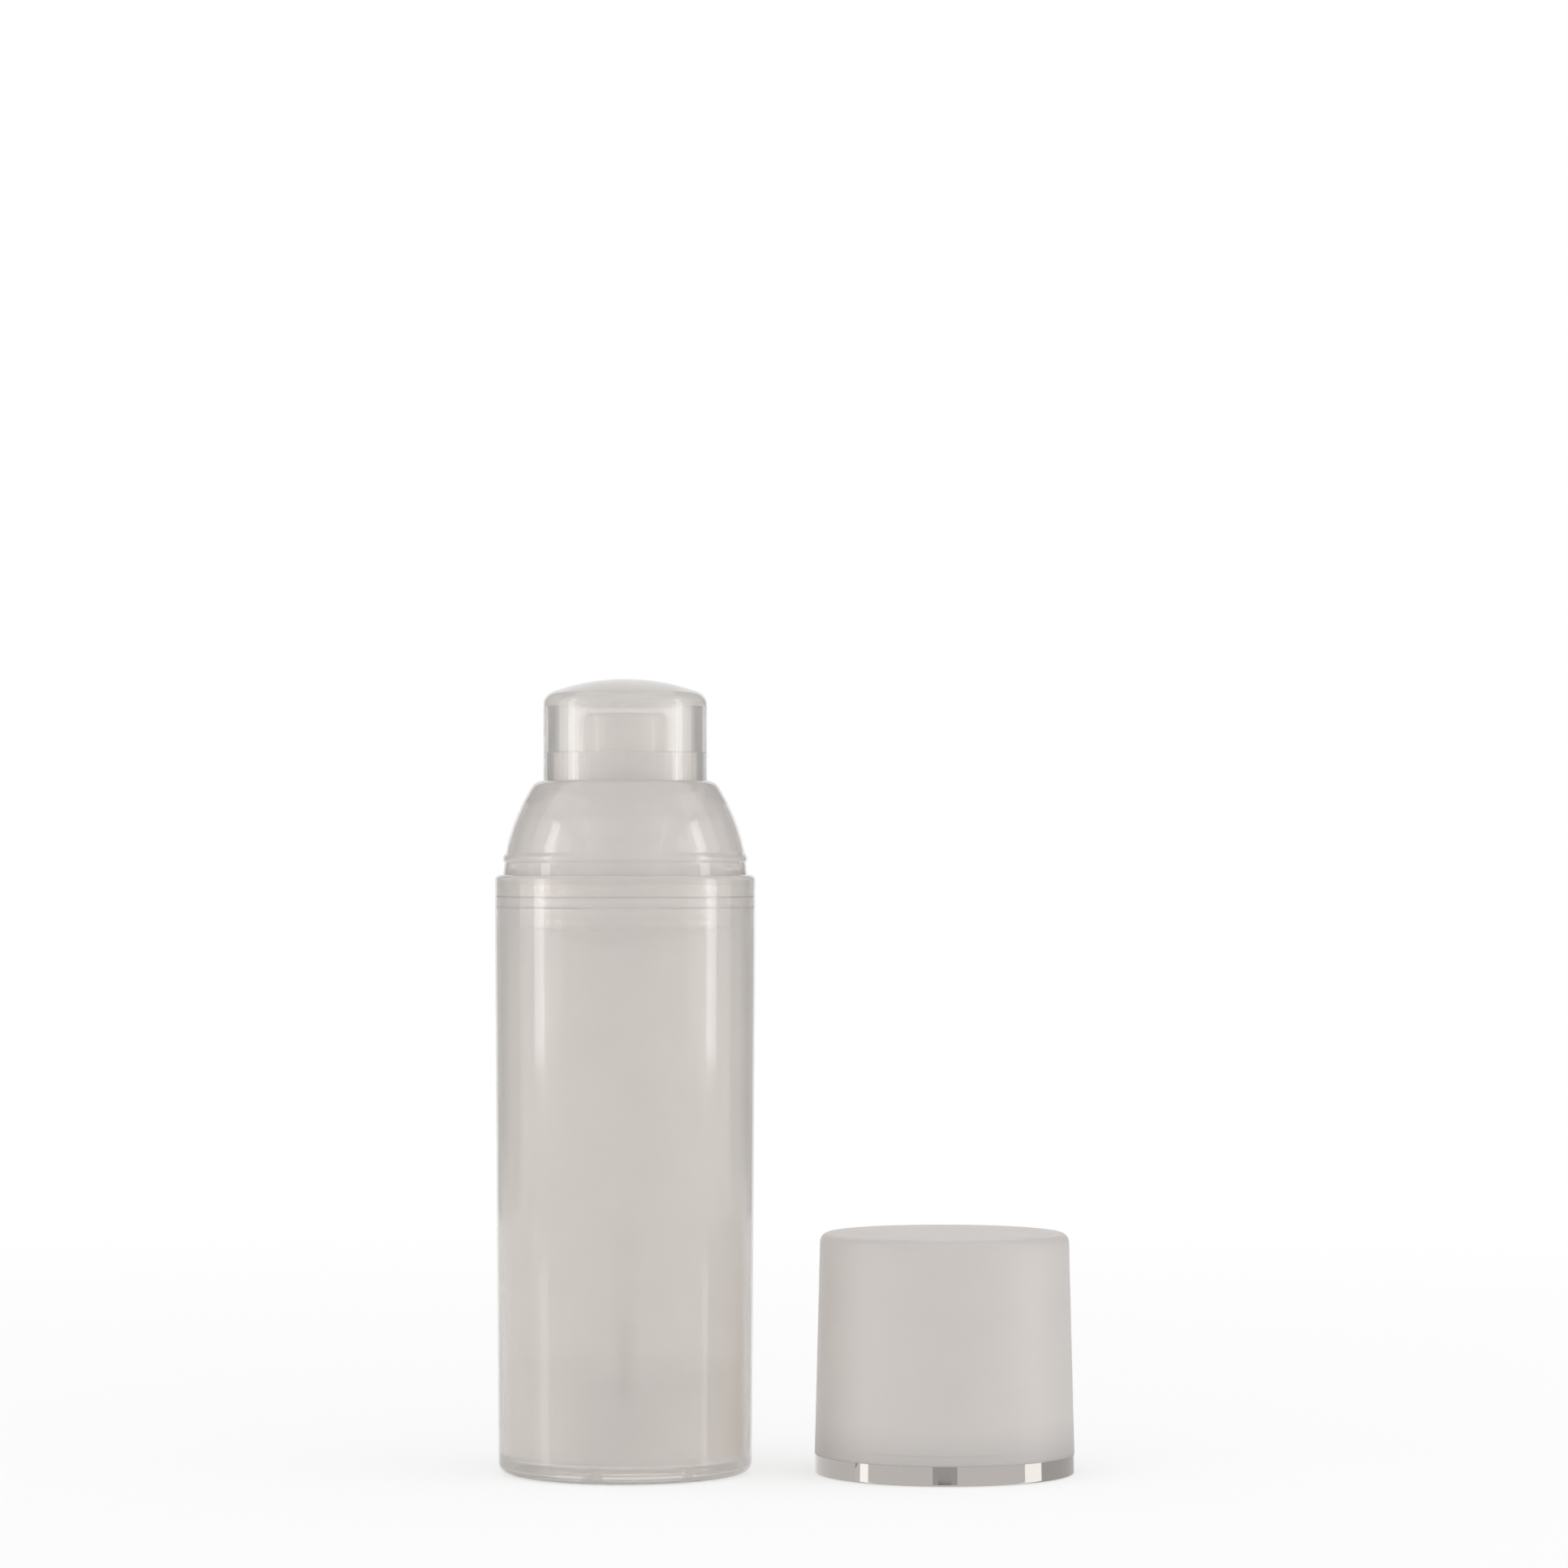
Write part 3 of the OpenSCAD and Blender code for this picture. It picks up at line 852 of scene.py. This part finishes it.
@dataclass
class Actuator:
    """The clear button that is pressed, sizes in millimetres."""

    wall: float = 1.75
    step: float = 0.35
    fillet: float = 2.0
    foot_fillet: float = 0.3
    inner_fillet: float = 1.2
    crown_r: float = 30.0
    ceiling: float = 2.74
    plate_top: float = 102.1
    nozzle_z: float = 105.6
    nozzle_r: float = 1.53
    nozzle_cut: float = 6.0
    beside_wall: float = 0.05

    def button(self, *finishes: bpy.types.Material) -> bpy.types.Object:
        """Builds the clear shell with its crown, stepped bore and nozzle opening.

        Args:
            finishes: Those of the outside, the bore, and the ceiling with its fillet.

        Returns:
            The button.
        """
        low, high = node_size("button")
        outer, ceiling = high.x, high.z - self.ceiling
        upper = outer - self.wall
        lower = upper + self.step
        pen = Pen(0.0, ceiling).line(upper, ceiling, self.inner_fillet).line(upper, self.plate_top, CRISP)
        pen.line(lower, self.plate_top).line(lower, low.z, CRISP).line(outer, low.z, self.foot_fillet)
        crown, reach = (0.0, high.z - self.crown_r), outer - self.fillet
        corner = (reach, crown[1] + math.sqrt((self.crown_r - self.fillet) ** 2 - reach**2))
        pen.line(outer, corner[1]).arc(corner, bearing(crown, corner), steps=10)
        pen.arc(crown, 90 - bearing(crown, corner), steps=24)
        turned = pen.spun(closed=False, segments=8)
        for face in turned.faces:
            middle = face.calc_center_median() / MM
            near = middle.xy.length < lower + self.beside_wall
            inside = near and low.z + CRISP < middle.z < ceiling + self.beside_wall
            face.material_index = int(inside) + int(inside and middle.z > ceiling - self.inner_fillet)
        moulding = Moulding("button_shell", "button", Body.ACTUATOR)
        piece = moulding.cast(turned)
        place = (0.0, outer, self.nozzle_z)
        moulding.carve(piece, [peg(self.nozzle_r, self.nozzle_cut, place, along_y=True)])
        return moulding.finish(piece, *finishes)


@dataclass
class Overcap:
    """The cap that stands beside the bottle, sizes in millimetres."""

    wall: float = 1.1
    draft: float = 0.85
    top: float = 1.5
    top_fillet: float = 1.3
    inner_fillet: float = 1.0
    mouth_fillet: float = 0.25
    bead_z: float = 3.7
    bead_h: float = 0.9
    bead_out: float = 0.2
    band_h: float = 2.75

    def cap(self, satin: bpy.types.Material, polished: bpy.types.Material) -> bpy.types.Object:
        """Builds the closed shell with its inner bead and the polished band at its mouth.

        Args:
            satin: Finish of the wall.
            polished: Finish of the band.

        Returns:
            The cap.
        """
        low, high = node_size("cap")
        outer = (high.x - low.x) / 2
        centre = (low + high) / 2
        inner, upper = outer - self.wall, outer - self.draft
        band_r = outer - self.draft * self.band_h / high.z
        pen = Pen(0.0, high.z).line(upper, high.z, self.top_fillet).line(band_r, self.band_h)
        pen.line(outer, 0.0, self.mouth_fillet).line(inner, 0.0, self.mouth_fillet)
        pen.line(inner, self.band_h)
        pen.ring(inner, self.bead_z, self.bead_h, -self.bead_out)
        pen.line(upper - self.wall, high.z - self.top, self.inner_fillet).line(0.0, high.z - self.top)
        turned = pen.spun(closed=False)
        for face in turned.faces:
            face.material_index = int(face.calc_center_median().z < self.band_h * MM)
        bmesh.ops.translate(turned, verts=turned.verts, vec=(centre.x * MM, centre.y * MM, 0.0))
        moulding = Moulding("cap_shell", "cap", Body.LID)
        return moulding.finish(moulding.cast(turned), satin, polished)


@dataclass(frozen=True)
class Panel:
    """An upright softbox or card that faces the bottle's axis, sizes in metres.

    Attributes:
        name: Name of the light or card.
        azimuth: Its direction from the bottle, in degrees from the camera's side.
        distance: How far it stands from the bottle.
        span: Heights of its lower and upper edge.
        width: Width.
        level: Brightness, where 1 is white.
        through: False where only mirrored light shows it, and not what passes plastic.
    """

    name: str
    azimuth: float
    distance: float
    span: tuple[float, float]
    width: float
    level: float
    through: bool = True

    @property
    def height(self) -> float:
        """Distance between its lower and upper edge."""
        return self.span[1] - self.span[0]

    def stand(self, thing: bpy.types.Object) -> None:
        """Sets a light or a card in this place, upright and turned to the bottle.

        Args:
            thing: The light or card.
        """
        turn = math.radians(self.azimuth)
        x, y = self.distance * math.sin(turn), -self.distance * math.cos(turn)
        thing.location = (x, y, (self.span[0] + self.span[1]) / 2)
        thing.rotation_euler = (math.radians(90), 0.0, turn)


@dataclass
class Studio:
    """Camera, lights, floor and backdrop of a plain product set, sizes in metres."""

    camera_place: tuple[float, float, float] = (-0.0029, -0.773, 0.088)
    camera_yaw: float = -1.887
    lens: float = 124.84
    sensor: float = 36.0
    shift_y: float = 0.0435
    clip: tuple[float, float] = (0.01, 20.0)
    floor_size: float = 12.0
    floor_drop: float = 0.0001
    # Distances over which the floor's shadow fades into white, and the share of white close by
    shadow_near: float = 0.12
    shadow_far: float = 0.5
    white_near: float = 0.6
    # Level of the light from all round, and how much more of it comes from the camera's side
    ambient: float = 0.93
    front_light: float = 0.36

    def camera(self) -> None:
        """Sets a level camera at the photograph's distance and height."""
        data = bpy.data.cameras.new("studio_camera")
        data.lens, data.sensor_width = self.lens, self.sensor
        data.shift_y = self.shift_y
        data.clip_start, data.clip_end = self.clip
        camera = bpy.data.objects.new("studio_camera", data)
        camera.location = self.camera_place
        camera.rotation_euler = (math.radians(90), 0.0, math.radians(self.camera_yaw))
        bpy.context.scene.collection.objects.link(camera)
        bpy.context.scene.camera = camera

    def softbox(self, panel: Panel) -> None:
        """Adds one softbox.

        Args:
            panel: Its place, size and brightness.
        """
        data = bpy.data.lights.new(panel.name, "AREA")
        data.shape = "RECTANGLE"
        data.size, data.size_y = panel.width, panel.height
        data.energy = panel.level * math.pi * panel.width * panel.height
        light = bpy.data.objects.new(panel.name, data)
        panel.stand(light)
        light.visible_camera = False
        bpy.context.scene.collection.objects.link(light)

    def lights(self) -> None:
        """Sets the softboxes and the cards.

        On each side stand a bright strip, a wide and faint diffuser, and a dark flag behind,
        which draws the edges of clear plastic. The cards below the table stand for what a
        glossy table mirrors up into the lowest edges, the last two for the lens and its shade.
        The small reflector between bottle and cap brightens the near end of the cap's band.
        """
        lit, dark, below = (0.03, 0.45), (-0.03, 1.2), (-0.9, -0.03)
        for side, name in ((-1, "left"), (1, "right")):
            self.softbox(Panel(f"strip_{name}", side * 81.0, 0.6, lit, width=0.12, level=2.6))
            self.softbox(Panel(f"diffuser_{name}", side * 70.0, 0.66, lit, width=0.32, level=0.45))
            self.card(Panel(f"flag_{name}", side * 131.5, 0.9, dark, width=0.86, level=0.3))
            self.card(Panel(f"table_flag_{name}", side * 123.5, 0.9, below, width=1.19, level=0.66))
        self.card(Panel("table_glint_left", -77.0, 0.6, (-0.45, -0.02), width=0.1, level=2.0))
        self.card(Panel("table_glint_right", 81.0, 0.6, (-0.45, -0.02), width=0.19, level=1.9))
        self.card(
            Panel("band_reflector", 90.0, 0.0195, (-0.06, 0.0026), width=0.03, level=0.95, through=False)
        )
        self.card(Panel("lens_shade", 0.0, 0.8, (-0.075, -0.025), width=0.3, level=0.62))
        self.card(Panel("lens_barrel", 0.0, 0.78, (-0.075, -0.055), width=0.15, level=0.08))

    def sheet(self, name: str, width: float, height: float) -> bpy.types.Object:
        """Cuts one flat rectangle, which isn't part of the object.

        Args:
            name: Name of the rectangle.
            width: Its size along X.
            height: Its size along Y.

        Returns:
            The rectangle, about the origin.
        """
        bm = bmesh.new()
        bmesh.ops.create_grid(bm, x_segments=1, y_segments=1, size=0.5)
        bmesh.ops.scale(bm, verts=bm.verts, vec=(width, height, 1.0))
        mesh = bpy.data.meshes.new(name)
        bm.to_mesh(mesh)
        bm.free()
        piece = bpy.data.objects.new(name, mesh)
        bpy.context.scene.collection.objects.link(piece)
        return piece

    def card(self, panel: Panel) -> None:
        """Stands a card that only reflections and refractions show.

        Args:
            panel: Its place, size and brightness.
        """
        card = self.sheet(panel.name, panel.width, panel.height)
        panel.stand(card)
        card.visible_camera = card.visible_diffuse = card.visible_shadow = False
        card.visible_transmission = panel.through
        material = blank_material(f"card_{panel.name}")
        material.cycles.emission_sampling = "NONE"
        tree = material.node_tree
        even = add_node(tree, "ShaderNodeEmission", {"Color": WHITE, "Strength": panel.level})
        add_node(tree, "ShaderNodeOutputMaterial", {"Surface": even.outputs["Emission"]})
        card.data.materials.append(material)

    def floor(self) -> None:
        """Lays a pale floor that stays white to the camera and keeps a soft shadow."""
        floor = self.sheet("studio_floor", self.floor_size, self.floor_size)
        floor.location.z = -self.floor_drop
        floor.visible_glossy = False
        material = blank_material("paper_white_seamless")
        tree = material.node_tree
        place = add_node(tree, "ShaderNodeTexCoord").outputs["Object"]
        away = add_node(tree, "ShaderNodeVectorMath", {0: place}, operation="LENGTH").outputs["Value"]
        near = {"From Min": self.shadow_near, "From Max": self.shadow_far, "To Min": self.white_near}
        fade = add_node(tree, "ShaderNodeMapRange", {"Value": away, **near}).outputs["Result"]
        share = add_node(tree, "ShaderNodeMath", {0: self.seen(tree), 1: fade}, operation="MULTIPLY")
        paper = add_node(tree, "ShaderNodeBsdfDiffuse", {"Color": linear("f6f6f6")})
        white = add_node(tree, "ShaderNodeEmission", {"Color": WHITE, "Strength": 1.0})
        mix = add_node(
            tree,
            "ShaderNodeMixShader",
            {"Fac": share.outputs[0], 1: paper.outputs["BSDF"], 2: white.outputs["Emission"]},
        )
        add_node(tree, "ShaderNodeOutputMaterial", {"Surface": mix.outputs["Shader"]})
        floor.data.materials.append(material)

    def seen(self, tree: bpy.types.NodeTree) -> bpy.types.NodeSocket:
        """One for rays that show the background: camera, glossy and transmission rays.

        Args:
            tree: Node tree.

        Returns:
            The socket.
        """
        path = add_node(tree, "ShaderNodeLightPath")
        first = add_node(
            tree,
            "ShaderNodeMath",
            {0: path.outputs["Is Camera Ray"], 1: path.outputs["Is Glossy Ray"]},
            operation="MAXIMUM",
        ).outputs[0]
        return add_node(
            tree, "ShaderNodeMath", {0: first, 1: path.outputs["Is Transmission Ray"]}, operation="MAXIMUM"
        ).outputs[0]

    def backdrop(self) -> None:
        """Sets a white backdrop that lights the object at a plain level."""
        world = bpy.data.worlds.new("studio_backdrop")
        bpy.context.scene.world = world
        world.use_nodes = True
        tree = world.node_tree
        tree.nodes.clear()
        toward = add_node(tree, "ShaderNodeTexCoord").outputs["Generated"]
        depth = add_node(tree, "ShaderNodeSeparateXYZ", {"Vector": toward}).outputs["Y"]
        soft = add_node(
            tree,
            "ShaderNodeMapRange",
            {
                "Value": depth,
                "From Min": -1.0,
                "From Max": 1.0,
                "To Min": self.ambient + self.front_light,
                "To Max": self.ambient - self.front_light,
            },
        ).outputs["Result"]
        strength = add_node(tree, "ShaderNodeMapRange", {"Value": self.seen(tree), "To Min": soft})
        sky = add_node(
            tree, "ShaderNodeBackground", {"Color": WHITE, "Strength": strength.outputs["Result"]}
        )
        add_node(tree, "ShaderNodeOutputWorld", {"Surface": sky.outputs["Background"]})


def dress_node(node: str, material: bpy.types.Material) -> None:
    """Gives a carried-over CAD node its finish.

    Args:
        node: Name of the CAD node.
        material: Its finish.
    """
    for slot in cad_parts[node].material_slots:
        slot.material = material
    LOG.info("%s: CAD node with %s", node, material.name)


def main() -> None:
    """Builds the studio and the bottle, piece by piece."""
    logging.basicConfig(level=logging.INFO)
    bpy.context.scene.view_settings.view_transform = "Standard"
    studio = Studio()
    studio.camera()
    studio.lights()
    studio.floor()
    studio.backdrop()
    milky, waxy, glass = MILKY_COPOLYMER.build(), WAXY_PE.build(), BALL_GLASS.build()
    container = Container()
    container.bottle(NATURAL_PP.build(), LIGHTENED_NECK_PP.build())
    container.collar(COLLAR_PP.build(), LIGHTENED_SKIRT_PP.build())
    Pump().bellows(waxy)
    Actuator().button(CLEAR_COPOLYMER.build(), HAZY_COPOLYMER.build(), FROSTED_COPOLYMER.build())
    Overcap().cap(SATIN_PP.build(), METALLISED.build())
    for node in ("pump_base", "retainer_ring", "stem", "actuator_core", "nozzle_insert"):
        dress_node(node, milky)
    dress_node("follower_piston", waxy)
    dress_node("inlet_ball", glass)
    dress_node("outlet_ball", glass)


if __name__ == "__main__":
    main()
